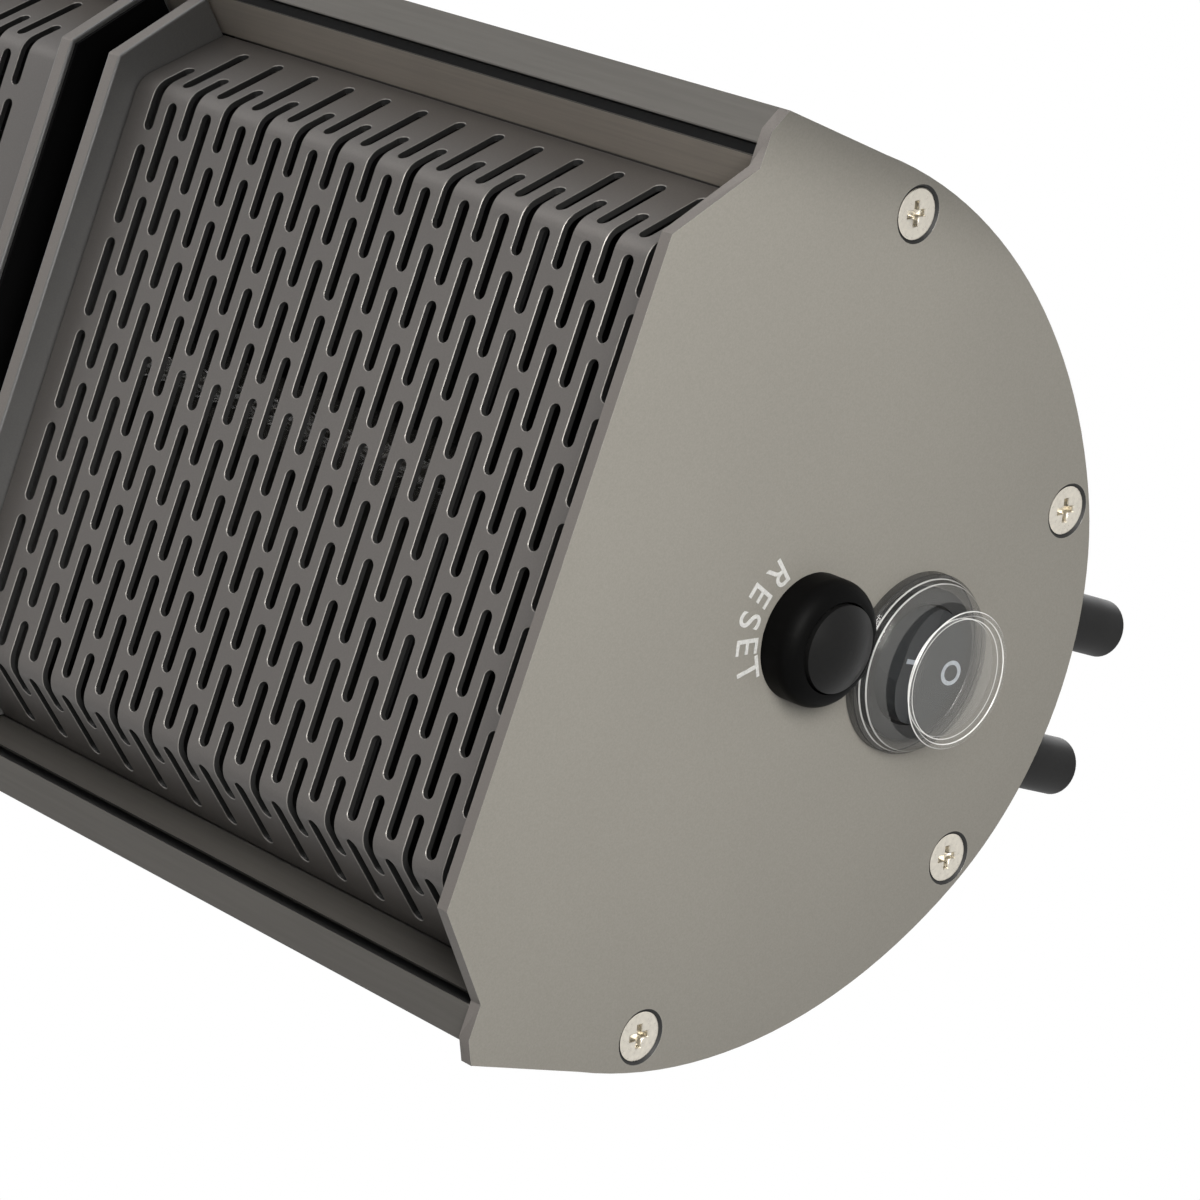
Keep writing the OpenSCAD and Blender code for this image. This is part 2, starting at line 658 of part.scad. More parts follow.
module reset_boot() color([0.07, 0.07, 0.07]) in_frame() {
    foot_r = boot_d / 2;
    floor_z = neck_top - gap;
    round_r = foot_r - boot_round;
    translate([right_x, 0, reset_z]) rotate([0, 90, 0]) rotate_extrude() difference() {
        union() {
            translate([neck_r + fit, fit]) square([foot_r - neck_r - fit, boot_h - boot_round - fit]);
            translate([neck_r + fit, fit]) square([round_r - neck_r - fit, boot_h - fit]);
            translate([round_r, boot_h - boot_round]) circle(r = boot_round);
        }
        square([neck_r + fit, boot_h]);
        translate([0, floor_z]) square([button_r + room, boot_h]);
    }
}

// Rear posts, saddled on the crown, with a threaded hole in the tip and a nut on the neck
module standoff_posts() color([0.08, 0.08, 0.08]) in_frame() difference() {
    union() {
        difference() {
            at_posts() translate([0, 0, crown_z]) cylinder(h = post_top - crown_z, r = post_d / 2);
            bar_x(left_x, body_len, crown_z, back_r + fit);
        }
        at_posts() translate([0, 0, nut_top - nut_h - neck_show])
            cylinder(h = body_d + over - nut_top + nut_h + neck_show, r = post_neck_r);
    }
    at_posts() translate([0, 0, post_top - post_bore_l]) cylinder(h = post_bore_l + over, r = post_bore_r);
}

module standoff_nuts() color([0.75, 0.74, 0.72]) in_frame() at_posts() translate([0, 0, nut_top - nut_h])
    difference() {
        rotate(30) cylinder(h = nut_h, r = nut_r, $fn = 6);
        translate([0, 0, -over]) cylinder(h = nut_h + 2 * over, r = post_neck_r + fit);
    }

// Terminal block with a through way and two clamping screws for each conductor
module at_way_screws() {
    for (n = [0 : ways - 1], t = [0.25, 0.75]) translate([block_x + t * block[0], way_y(n), 0]) children();
}
module terminal_block() color([0.88, 0.87, 0.83]) in_frame() difference() {
    union() {
        translate([block_x, block_side - block[1] / 2, block_z]) cube(block);
        translate([block_x, block_side - block[1] / 4, block_z])
            cube([bulk_left - gap - block_x, block[1] / 2, block_foot]);
    }
    for (n = [0 : ways - 1])
        bar_x(block_x - over, block[0] + 2 * over, way_z, elbow_r + slack, y = way_y(n));
    at_way_screws() translate([0, 0, way_z]) cylinder(h = block[2], r = way_screw_r + slack);
}
module terminal_screws() color([0.80, 0.78, 0.6]) in_frame()
    at_way_screws() translate([0, 0, way_z + elbow_r + slack])
        cylinder(h = block[2] / 2 - way_floor - elbow_r, r = way_screw_r);

// Cable gland: threaded body with dome nut, rubber seal and lock nut
module cable_gland() color([0.06, 0.06, 0.06]) in_frame() difference() {
    union() {
        bar_x(left_x - gland_hex_t, gland_hex_t + plate_t + gland_inside, gland_z, gland_r);
        hex_x(left_x - gland_hex_t, gland_hex_t, gland_z, gland_hex_r);
        bar_x(left_x - gland_out, gland_cap_t, gland_z, gland_mouth_r, gland_cap_r);
        bar_x(left_x - gland_out + gland_cap_t, gland_out - gland_cap_t - gland_hex_t / 2, gland_z, gland_cap_r);
    }
    bar_x(left_x - gland_out - over, gland_out + plate_t + gland_inside + 2 * over, gland_z, seal_r);
}
module gland_seal() color([0.15, 0.15, 0.15]) in_frame() difference() {
    bar_x(left_x - gland_out + seal_in, seal_len, gland_z, seal_r - fit / 2);
    bar_x(left_x - gland_out - over, seal_len + 3 * over, gland_z, seal_bore_r);
}
module gland_nut() color([0.06, 0.06, 0.06]) in_frame() difference() {
    hex_x(inner_left + fit, gland_nut_t, gland_z, gland_hex_r);
    bar_x(inner_left - over, gland_nut_t + 3 * over, gland_z, gland_r + fit);
}

module earth_stud() color([0.85, 0.75, 0.45]) in_frame() {
    bar_x(bulk_left - earth_len, earth_len + bulkhead_t + earth_head_t / 2, earth_z, earth_r, y = earth_y);
    bar_x(bulk_left + bulkhead_t + fit, earth_head_t, earth_z, earth_head_r, y = earth_y);
    hex_x(bulk_left - earth_nut_in - earth_nut_t, earth_nut_t, earth_z, earth_nut_r, y = earth_y);
}

// Leads: straight runs with round elbows, cut off flat at both ends
module run(a, b) {
    d = b - a;
    l = norm(d);
    translate(a) rotate([0, acos(d[2] / l), atan2(d[1], d[0])]) cylinder(h = l, r = lead_r, $fn = 24);
}
module route(points) {
    for (n = [0 : len(points) - 2]) run(points[n], points[n + 1]);
    for (n = [1 : len(points) - 2]) translate(points[n]) sphere(r = elbow_r, $fn = 24);
}

// From the gland's throat to the three ways of the terminal block
module supply_leads() color([0.35, 0.22, 0.12]) in_frame() {
    throat = inner_left + gland_inside;
    spread = 1.4 * lead_r;
    for (n = [0 : ways - 1]) {
        y = spread * cos(210 - 120 * n);
        z = gland_z + spread * sin(210 - 120 * n);
        route([[throat, y, z], [throat + lead_tail, y, z],
            [block_x - lead_tail, way_y(n), way_z], [block_x + lead_tail, way_y(n), way_z]]);
    }
}

// From the block's last way, behind the reflector, to the back of the switch
module switched_lead() color([0.5, 0.1, 0.08]) in_frame() {
    x_out = bulk_left - lead_tail;
    x_in = right_x - switch_depth - 2 * lead_step;
    route([[bulk_left - block_back - lead_tail, way_y(2), way_z], [x_out, way_y(2), way_z],
        [x_out, lead_y, lead_z], [x_in, lead_y, lead_z], [x_in, lead_side, switch_z],
        [right_x - switch_depth, lead_side, switch_z]]);
}

// From the block's middle way to the earth stud's nut
module earth_lead() color([0.25, 0.5, 0.15]) in_frame() {
    x_out = bulk_left - lead_tail - lead_step;
    route([[bulk_left - block_back - lead_tail, way_y(1), way_z], [x_out, way_y(1), way_z],
        [x_out, earth_y - earth_nut_r - earth_r, earth_z], [x_out, earth_y - earth_r, earth_z]]);
}

// From the switch to the side of the breaker
module breaker_lead() color([0.5, 0.1, 0.08]) in_frame() {
    x_switch = right_x - switch_depth;
    x_side = x_switch - 1.5 * lead_step;
    y_side = -breaker_w / 2 - lead_tail;
    route([[x_switch, -lead_side, switch_z], [x_side, -lead_side, switch_z],
        [x_side, y_side, reset_z + breaker_w / 2 + lead_tail], [x_side, y_side, reset_z],
        [x_side, -breaker_w / 2, reset_z]]);
}

// From the back of the breaker to the lamp's cap
module lamp_lead() color([0.5, 0.1, 0.08]) in_frame() {
    x_back = inner_right - breaker_depth - gap;
    x_cap = bulk_right + cap_len;
    z_back = reset_z - breaker_w / 4;
    route([[x_back, 0, z_back], [(x_back + x_cap) / 2, 0, z_back], [(x_back + x_cap) / 2, 0, tube_z],
        [x_cap, 0, tube_z]]);
}

// From the lamp's other cap to the block's first way
module neutral_lead() color([0.6, 0.6, 0.58]) in_frame() {
    x_end = bulk_left - cap_len;
    x_out = bulk_left - lead_tail;
    route([[x_end, 0, tube_z], [x_end - lead_tail, 0, tube_z], [x_end - lead_tail, way_y(0), tube_z],
        [x_out, way_y(0), way_z], [bulk_left - block_back - lead_tail, way_y(0), way_z]]);
}

housing();
control_end_plate();
supply_end_plate();
end_plate_screws();
grille(1);  // grille_1
grille(2);  // grille_2
grille(3);  // grille_3
grille(4);  // grille_4
divider_plate(1);  // divider_plate_1
divider_plate(2);  // divider_plate_2
divider_plate(3);  // divider_plate_3
divider_plate(4);  // divider_plate_4
divider_plate(5);  // divider_plate_5
divider_plate(6);  // divider_plate_6
divider_strip(1);  // divider_strip_1
divider_strip(2);  // divider_strip_2
divider_strip(3);  // divider_strip_3
reflector();
control_bulkhead();
supply_bulkhead();
quartz_tube();
heating_filament();
lamp_caps();
lamp_holders();
switch_body();
switch_rocker();
switch_cover();
reset_breaker();
reset_button();
reset_boot();
standoff_posts();
standoff_nuts();
terminal_block();
terminal_screws();
cable_gland();
gland_seal();
gland_nut();
earth_stud();
supply_leads();
switched_lead();
breaker_lead();
lamp_lead();
neutral_lead();
earth_lead();
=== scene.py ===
# %% [markdown]
# # An infrared heater bar, dressed for a studio picture
#
# The solids come ready made: a domed aluminium housing, slotted grilles, end plates, a rocker
# switch under a clear cover and a reset button in a rubber boot. This lesson loads them, gives every
# surface its finish, rounds the edges that catch the light, and adds the small printed and moulded
# details. Everything is in metres. X runs along the bar towards the controls, -Y is the grille side
# and +Y is the domed back.

import json
import math

import bmesh
import bpy
from mathutils import Matrix, Vector


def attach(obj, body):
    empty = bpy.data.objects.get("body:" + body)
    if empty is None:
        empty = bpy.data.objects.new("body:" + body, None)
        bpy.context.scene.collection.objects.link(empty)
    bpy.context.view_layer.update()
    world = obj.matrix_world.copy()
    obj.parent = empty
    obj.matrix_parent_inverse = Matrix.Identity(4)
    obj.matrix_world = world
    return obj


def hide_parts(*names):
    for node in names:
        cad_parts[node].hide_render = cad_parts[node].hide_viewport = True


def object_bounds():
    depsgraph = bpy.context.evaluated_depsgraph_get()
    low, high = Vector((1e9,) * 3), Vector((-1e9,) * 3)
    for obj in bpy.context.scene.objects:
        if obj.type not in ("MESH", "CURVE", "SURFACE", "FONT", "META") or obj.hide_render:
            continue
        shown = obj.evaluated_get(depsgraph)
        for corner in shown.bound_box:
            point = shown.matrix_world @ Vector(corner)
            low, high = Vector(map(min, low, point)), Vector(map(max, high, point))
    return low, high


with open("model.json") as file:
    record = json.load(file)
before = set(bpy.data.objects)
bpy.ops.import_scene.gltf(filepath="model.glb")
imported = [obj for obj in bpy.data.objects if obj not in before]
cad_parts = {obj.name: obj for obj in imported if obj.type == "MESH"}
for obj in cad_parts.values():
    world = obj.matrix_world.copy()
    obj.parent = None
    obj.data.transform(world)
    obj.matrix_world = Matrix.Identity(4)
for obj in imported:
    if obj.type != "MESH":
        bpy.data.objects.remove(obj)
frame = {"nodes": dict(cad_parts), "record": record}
solid_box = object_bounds()
nodes = frame["nodes"]
print("loaded", len(nodes), "solids in the box", [round(c, 4) for v in solid_box for c in v])

# %% Helpers for the whole lesson
def added(name, data):
    """A new object with this data, linked to the scene."""
    thing = bpy.data.objects.new(name, data)
    bpy.context.scene.collection.objects.link(thing)
    return thing


def mesh_from(bm, name):
    """Ends a bmesh and gives its mesh."""
    mesh = bpy.data.meshes.new(name)
    bm.to_mesh(mesh)
    bm.free()
    return mesh


print("object helpers ready")

# %% [markdown]
# ## Camera
#
# The camera stands off the control end, a little above the middle, and is rolled, so the bar runs up
# to the left. Its place and lens come from straight lines and screw centres on the real object. A
# long lens keeps the far windows from shrinking too much.

# %% Camera
FRAME_PX = 1200
FOCAL_PX = 4129.0
camera_data = bpy.data.cameras.new("camera")
camera_data.sensor_width = 36.0
camera_data.lens = camera_data.sensor_width * FOCAL_PX / FRAME_PX
camera_data.clip_start, camera_data.clip_end = 0.05, 50.0
camera = added("camera", camera_data)
right = Vector((0.6806, 0.6613, 0.3154))
up = Vector((-0.2840, -0.1587, 0.9456))
back = Vector((0.6754, -0.7331, 0.0798))
turn = Matrix((right, up, back)).transposed().to_4x4()
camera.matrix_world = Matrix.Translation((0.6323, -0.52122, 0.0421)) @ turn
bpy.context.scene.camera = camera
print("lens", round(camera_data.lens, 2), "mm")

# %% [markdown]
# ## Stage and light
#
# A pale floor lies well below the bar, because the real one hangs from its posts. The background is
# white where the camera looks, and shiny and clear surfaces show that white too. Close to the bar the
# floor is half white and half a plain lit surface, so that it keeps the bar's shadow.

# %% White where the camera looks
def white_to_camera(tree, surface, kind, share=None):
    """Shows white to the camera, to mirrors and through glass, whatever the light on it is."""
    path = tree.nodes.new("ShaderNodeLightPath")
    seen = path.outputs["Is Camera Ray"]
    for other in ("Is Glossy Ray", "Is Transmission Ray"):
        either = tree.nodes.new("ShaderNodeMath")
        either.operation = "MAXIMUM"
        tree.links.new(seen, either.inputs[0])
        tree.links.new(path.outputs[other], either.inputs[1])
        seen = either.outputs[0]
    if share is not None:
        part = tree.nodes.new("ShaderNodeMath")
        part.operation = "MULTIPLY"
        tree.links.new(seen, part.inputs[0])
        tree.links.new(share, part.inputs[1])
        seen = part.outputs[0]
    plain = tree.nodes.new(kind)
    plain.inputs["Color"].default_value = (1, 1, 1, 1)
    plain.inputs["Strength"].default_value = 1.0
    mix = tree.nodes.new("ShaderNodeMixShader")
    tree.links.new(seen, mix.inputs[0])
    tree.links.new(surface, mix.inputs[1])
    tree.links.new(plain.outputs[0], mix.inputs[2])
    return mix.outputs[0]


WORLD_STRENGTH = 0.12
world = bpy.data.worlds.new("studio")
bpy.context.scene.world = world
world.use_nodes = True
air = world.node_tree.nodes["Background"]
air.inputs["Color"].default_value = (1.0, 0.99, 0.97, 1)
air.inputs["Strength"].default_value = WORLD_STRENGTH
world_out = world.node_tree.nodes["World Output"]
shade = white_to_camera(world.node_tree, air.outputs[0], "ShaderNodeBackground")
world.node_tree.links.new(shade, world_out.inputs["Surface"])
print("world set")

# %% Floor
FLOOR_DROP = 0.30
FLOOR_HALF = 6.0
SHADOW_RADIUS, WHITE_RADIUS, WHITE_SHARE = 0.42, 0.75, 0.5
FLOOR_Z = solid_box[0].z - FLOOR_DROP
bm = bmesh.new()
bmesh.ops.create_grid(bm, x_segments=1, y_segments=1, size=FLOOR_HALF)
bmesh.ops.translate(bm, verts=bm.verts, vec=(0, 0, FLOOR_Z))
floor = added("floor", mesh_from(bm, "floor"))
floor_finish = bpy.data.materials.new("pale_floor")
floor_finish.use_nodes = True
tree = floor_finish.node_tree
matt = tree.nodes["Principled BSDF"]
matt.inputs["Base Color"].default_value = (0.86, 0.86, 0.85, 1)
matt.inputs["Roughness"].default_value = 0.9
where = tree.nodes.new("ShaderNodeTexCoord")
reach = tree.nodes.new("ShaderNodeVectorMath")
reach.operation = "LENGTH"
far = tree.nodes.new("ShaderNodeMapRange")
far.interpolation_type = "SMOOTHSTEP"
far.inputs["From Min"].default_value, far.inputs["From Max"].default_value = SHADOW_RADIUS, WHITE_RADIUS
far.inputs["To Min"].default_value = WHITE_SHARE
tree.links.new(where.outputs["Object"], reach.inputs[0])
tree.links.new(reach.outputs["Value"], far.inputs["Value"])
shade = white_to_camera(tree, matt.outputs[0], "ShaderNodeEmission", far.outputs[0])
tree.links.new(shade, tree.nodes["Material Output"].inputs["Surface"])
floor.data.materials.append(floor_finish)
print("floor at", round(FLOOR_Z, 3))

# %% [markdown]
# The end plate has its own lamp, close and narrow, so the plate is brightest beside the grille and
# grows darker to the back and the bottom. The grille lamp stands behind the plate's plane, so it
# lights the grille and the lips without touching the plate; it hangs high, which makes the upper
# slopes bright and leaves the lower ones dark. Two more light the back and the supply end, and a
# weak one from above fills in.

# %% Lamps
MIDDLE = Vector((0.20, -0.07, 0.0))


def soft_lamp(name, place, size, watts, colour=(1, 1, 1), aim=MIDDLE, spread_angle=180):
    """A rectangular lamp that faces its aim."""
    data = bpy.data.lights.new(name, "AREA")
    data.spread = math.radians(spread_angle)
    data.shape = "RECTANGLE"
    data.size, data.size_y = size
    data.energy = watts
    data.color = colour
    lamp = added(name, data)
    lamp.location = place
    lamp.rotation_mode = "QUATERNION"
    lamp.rotation_quaternion = (aim - Vector(place)).to_track_quat("-Z", "Y")


soft_lamp("end_light", (0.62, -0.40, 0.17), (0.26, 0.26), 0.56, (1.0, 0.985, 0.95),
    aim=Vector((0.26, -0.12, 0.025)), spread_angle=62)
soft_lamp("grille_light", (-0.05, -0.85, 0.70), (1.0, 0.5), 3.9, (1.0, 0.985, 0.96),
    aim=Vector((0.05, -0.12, 0.01)))
soft_lamp("back_light", (-0.45, 1.05, 0.60), (0.9, 0.9), 5)
soft_lamp("supply_light", (-1.25, -0.55, 0.35), (0.7, 0.7), 2.5, aim=Vector((-0.15, -0.07, 0)))
soft_lamp("top_light", (0.0, -0.05, 1.2), (1.2, 0.9), 2)
bpy.context.scene.view_settings.view_transform = "Standard"
print("five soft lamps")

# %% [markdown]
# The end lamp hangs a little higher than the dome and would glare along its top. A black flag in
# front of the plate's upper edge keeps it off, as in a studio. The camera doesn't see the flag.

# %% Flag
FLAG_X, FLAG_LOW, FLAG_HIGH, FLAG_FRONT, FLAG_BACK = 0.285, 0.074, 0.21, -0.45, 0.12
flag_mesh = bpy.data.meshes.new("flag")
flag_mesh.from_pydata([(FLAG_X, FLAG_FRONT, FLAG_LOW), (FLAG_X, FLAG_BACK, FLAG_LOW),
    (FLAG_X, FLAG_BACK, FLAG_HIGH), (FLAG_X, FLAG_FRONT, FLAG_HIGH)], [], [(0, 1, 2, 3)])
flag = added("flag", flag_mesh)
flag.visible_camera = flag.visible_diffuse = flag.visible_transmission = False
flag_finish = bpy.data.materials.new("flag_black")
flag_finish.use_nodes = True
flag_finish.node_tree.nodes["Principled BSDF"].inputs["Base Color"].default_value = (0.01, 0.01, 0.01, 1)
flag_mesh.materials.append(flag_finish)
print("flag from", FLAG_LOW, "to", FLAG_HIGH)

# %% [markdown]
# ## Metal finishes
#
# The plates and the housing are anodised aluminium. Anodising leaves the metal's fine drawn or
# blasted grain under a satin film, so the finish is one shader with two layers of noise: a coarse one
# for slow drift of colour and roughness, and a fine one for the grain. On extrusions the fine one is
# drawn out along the bar. It also gives a very small bump.

# %% Node helpers
NOISE_ROUGHNESS = 0.55
NOISE_LOW, NOISE_HIGH = 0.3, 0.7


def new_finish(name, base, rough, metallic=0.0):
    """A material with one shader; values that are the same all over stay on its own sockets."""
    finish = bpy.data.materials.new(name)
    finish.use_nodes = True
    shader = finish.node_tree.nodes["Principled BSDF"]
    shader.inputs["Base Color"].default_value = (*base, 1)
    shader.inputs["Roughness"].default_value = rough
    shader.inputs["Metallic"].default_value = metallic
    return finish, finish.node_tree, shader


def noise(tree, scale, stretch=(1, 1, 1), detail=3.0):
    """Noise on Object coordinates, in cells of 1/scale metres, stretched along an axis."""
    where = tree.nodes.new("ShaderNodeTexCoord")
    mapping = tree.nodes.new("ShaderNodeMapping")
    mapping.inputs["Scale"].default_value = stretch
    texture = tree.nodes.new("ShaderNodeTexNoise")
    texture.inputs["Scale"].default_value = scale
    texture.inputs["Detail"].default_value = detail
    texture.inputs["Roughness"].default_value = NOISE_ROUGHNESS
    tree.links.new(where.outputs["Object"], mapping.inputs["Vector"])
    tree.links.new(mapping.outputs[0], texture.inputs["Vector"])
    return texture.outputs["Fac"]


def spread(tree, value, low, high):
    """Maps the middle part of a noise value onto a range."""
    ramp = tree.nodes.new("ShaderNodeMapRange")
    ramp.inputs["From Min"].default_value = NOISE_LOW
    ramp.inputs["From Max"].default_value = NOISE_HIGH
    ramp.inputs["To Min"].default_value = low
    ramp.inputs["To Max"].default_value = high
    tree.links.new(value, ramp.inputs["Value"])
    return ramp.outputs[0]


def times(tree, one, two):
    """The product of two node values."""
    node = tree.nodes.new("ShaderNodeMath")
    node.operation = "MULTIPLY"
    tree.links.new(one, node.inputs[0])
    tree.links.new(two, node.inputs[1])
    return node.outputs[0]


def tint(tree, shader, base, factor):
    """Multiplies the base colour by a factor that the noise gives."""
    mix = tree.nodes.new("ShaderNodeMix")
    mix.data_type = "RGBA"
    mix.blend_type = "MULTIPLY"
    mix.inputs[0].default_value = 1.0
    mix.inputs[6].default_value = (*base, 1)
    tree.links.new(factor, mix.inputs[7])
    tree.links.new(mix.outputs[2], shader.inputs["Base Color"])


def bump(tree, shader, height, distance, strength=0.4):
    """A bump map from a noise value."""
    node = tree.nodes.new("ShaderNodeBump")
    node.inputs["Strength"].default_value = strength
    node.inputs["Distance"].default_value = distance
    tree.links.new(height, node.inputs["Height"])
    tree.links.new(node.outputs[0], shader.inputs["Normal"])


print("node helpers ready")

# %% Anodised aluminium
DRAWN = {"grain": 1500.0, "lines": (0.04, 1, 1)}


def anodised(name, base, rough, grain=3800.0, lines=(1, 1, 1), metallic=0.55, specular=0.5):
    """A satin finish with a fine grain, which lines can stretch along an axis."""
    finish, tree, shader = new_finish(name, base, rough, metallic)
    shader.inputs["Specular IOR Level"].default_value = specular
    fine = noise(tree, grain, lines, detail=2.0)
    slow = noise(tree, 16.0, detail=2.0)
    tint(tree, shader, base, times(tree, spread(tree, fine, 0.94, 1.06), spread(tree, slow, 0.96, 1.04)))
    tree.links.new(spread(tree, slow, rough - 0.04, rough + 0.04), shader.inputs["Roughness"])
    bump(tree, shader, fine, 0.000006)
    return finish


plate_finish = anodised("plate_anodised", (0.245, 0.234, 0.210), 0.48, metallic=0.0, specular=0.25)
# A darker copy of the plate finish: painted shade on the plates' front rims and on the dividers' edges.
rim_shade_finish = anodised("rim_anodised_painted_shade", (0.150, 0.137, 0.127), 0.42)
divider_finish = anodised("divider_anodised", (0.140, 0.140, 0.139), 0.42)
housing_finish = anodised("housing_anodised", (0.098, 0.092, 0.084), 0.50, **DRAWN)
# A much lighter copy of the housing finish: a painted reflection on the upper slanted wall.
wall_reflection_finish = anodised("wall_painted_reflection", (0.40, 0.362, 0.318), 0.38, **DRAWN)
grille_finish = anodised("grille_anodised", (0.110, 0.102, 0.097), 0.42)
# A light finish: a painted highlight on the front part of the plates' bevels.
bevel_highlight_finish = anodised("bevel_painted_highlight", (0.42, 0.41, 0.39), 0.38)
# A lighter finish: a painted highlight on the slots' bevelled rims.
slot_highlight_finish = anodised("slot_rim_painted_highlight", (0.19, 0.18, 0.17), 0.42)
# Near black: painted shade in the lip grooves, the screw seats and the slot walls.
painted_shade_finish = anodised("painted_shade_cut", (0.010, 0.010, 0.010), 0.6, metallic=0.0)
print("nine anodised finishes")

# %% [markdown]
# ## Screws, zinc, brass and the reflector
#
# Nickel-plated screws are bright but not mirrors: tumbling leaves tiny dents. Zinc shows a faint
# spangle. The reflector is rolled sheet, painted near black as shade so that it stays dark behind the
# slots.

# %% Bright metals
def plated(name, base, rough, cells=900.0, depth=0.00004):
    """Bare or plated metal with shallow dents."""
    finish, tree, shader = new_finish(name, base, rough, 1.0)
    dents = noise(tree, cells)
    tree.links.new(spread(tree, dents, rough - 0.10, rough + 0.10), shader.inputs["Roughness"])
    tint(tree, shader, base, spread(tree, dents, 0.88, 1.08))
    bump(tree, shader, dents, depth)
    return finish


screw_finish = plated("screw_nickel", (0.66, 0.62, 0.54), 0.34, cells=1400.0)
zinc_finish = plated("zinc_steel", (0.55, 0.56, 0.57), 0.35, cells=260.0)
brass_finish = plated("brass", (0.72, 0.52, 0.24), 0.30)
# Near black: painted shade that keeps the slots dark.
reflector_shade_finish = plated("reflector_bright", (0.035, 0.034, 0.032), 0.40, cells=60.0, depth=0.0001)
bulkhead_finish = plated("bulkhead_steel", (0.030, 0.030, 0.030), 0.50, cells=260.0)
print("five plated finishes")

# %% [markdown]
# ## Plastics and rubber
#
# Moulded nylon carries a fine spark-eroded texture that breaks up its shine. Rubber is rougher, with
# a weak sheen and dust in its pores. Both are near black, and the shape reads from the highlights.

# %% Moulded and rubber finishes
def moulded(name, base, rough, cells=1500.0, specular=0.5, drift=0.10, ior=1.45):
    """Plastic or rubber with fine pores; drift is how much its colour varies."""
    finish, tree, shader = new_finish(name, base, rough)
    shader.inputs["IOR"].default_value = ior
    shader.inputs["Specular IOR Level"].default_value = specular
    pores = noise(tree, cells, detail=2.0)
    slow = noise(tree, 60.0)
    tree.links.new(spread(tree, slow, rough - 0.07, rough + 0.07), shader.inputs["Roughness"])
    tint(tree, shader, base, spread(tree, pores, 1 - drift, 1 + drift))
    bump(tree, shader, pores, 0.00003, 0.3)
    return finish


body_finish = moulded("switch_black", (0.012, 0.012, 0.012), 0.38, specular=0.25)
rocker_finish = moulded("rocker_black", (0.016, 0.018, 0.020), 0.46, specular=0.2)
button_finish = moulded("button_black", (0.007, 0.007, 0.007), 0.34, specular=0.5, ior=1.22)
boot_finish = moulded("boot_rubber", (0.002, 0.002, 0.002), 0.46, cells=2200.0, specular=0.3, ior=1.15)
post_finish = moulded("post_black", (0.008, 0.008, 0.008), 0.50, specular=0.5, ior=1.25)
gland_finish = moulded("gland_black", (0.012, 0.012, 0.012), 0.46, specular=0.3)
strip_finish = moulded("black_coat", (0.0025, 0.0025, 0.0027), 0.6, cells=900.0, specular=0.06)
ceramic_finish = moulded("ceramic", (0.74, 0.71, 0.65), 0.34, cells=700.0, drift=0.04)
filament_finish = moulded("filament", (0.05, 0.045, 0.04), 0.7, cells=3000.0)
lead_finishes = {
    "lead_brown": moulded("lead_brown", (0.13, 0.05, 0.025), 0.5),
    "lead_red": moulded("lead_red", (0.38, 0.03, 0.02), 0.5),
    "lead_grey": moulded("lead_grey", (0.36, 0.36, 0.35), 0.5),
    "lead_green": moulded("lead_green", (0.14, 0.34, 0.06), 0.5),
}
print(9 + len(lead_finishes), "moulded finishes")

# %% [markdown]
# ## Clear vinyl and quartz
#
# The switch cover is thin clear vinyl. It is too thin to bend the light, so its walls are a faint
# shiny film. Its moulded edges carry a painted highlight and are nearly white, its thick foot is painted
# darker as shade, and the foot's outer wall carries a painted dark outline. The lamp's quartz tube is
# thick enough to bend what lies behind it.

# %% Clear finishes
def film(name, base, rough, cover):
    """A thin clear wall that hides only a share of what lies behind it."""
    finish, tree, shader = new_finish(name, base, rough)
    shader.inputs["Alpha"].default_value = cover
    return finish


cover_finish = film("clear_cover", (0.30, 0.30, 0.30), 0.14, 0.03)
cover_top_finish = film("clear_top", (0.50, 0.50, 0.49), 0.14, 0.12)
# The foot is painted darker as shade, the edge and soft finishes are painted highlights, and the rim one is
# a painted dark outline.
cover_foot_shade_finish = film("clear_foot_shade", (0.04, 0.04, 0.04), 0.10, 0.42)
cover_chamfer_highlight_finish = film("clear_chamfer_highlight", (0.86, 0.86, 0.85), 0.25, 0.80)
cover_outline_shade_finish = film("clear_outline_shade", (0.03, 0.03, 0.03), 0.25, 0.85)
cover_soft_highlight_finish = film("clear_soft_highlight", (0.75, 0.75, 0.74), 0.25, 0.55)
quartz_finish, tree, shader = new_finish("quartz", (0.97, 0.96, 0.93), 0.02)
shader.inputs["Transmission Weight"].default_value = 1.0
shader.inputs["IOR"].default_value = 1.46
bump(tree, shader, noise(tree, 120.0, detail=1.0), 0.00002, 0.5)
print("seven clear finishes")

# %% [markdown]
# ## Dressing the solids
#
# Each solid keeps its own mesh and gets the finish of its material slot. The record names that slot
# for every solid, so one table is enough.

# %% One finish for each slot
finishes = {
    "housing_anodised": housing_finish, "plate_anodised": plate_finish, "grille_anodised": grille_finish,
    "screw_nickel": screw_finish, "zinc_steel": zinc_finish, "brass": brass_finish,
    "reflector_bright": reflector_shade_finish, "switch_black": body_finish, "rocker_black": rocker_finish,
    "button_black": button_finish, "boot_rubber": boot_finish, "post_black": post_finish,
    "gland_black": gland_finish, "black_coat": strip_finish, "ceramic": ceramic_finish,
    "filament": filament_finish, "clear_cover": cover_finish, "quartz": quartz_finish, **lead_finishes,
}
slot_of = {part["node"]: part["material_slot"] for part in frame["record"]["subparts"]}
for name, solid in nodes.items():
    solid.data.materials.clear()
    solid.data.materials.append(bulkhead_finish if "bulkhead" in name else finishes[slot_of[name]])
print(len(nodes), "solids dressed in", len(set(slot_of.values())), "finishes")

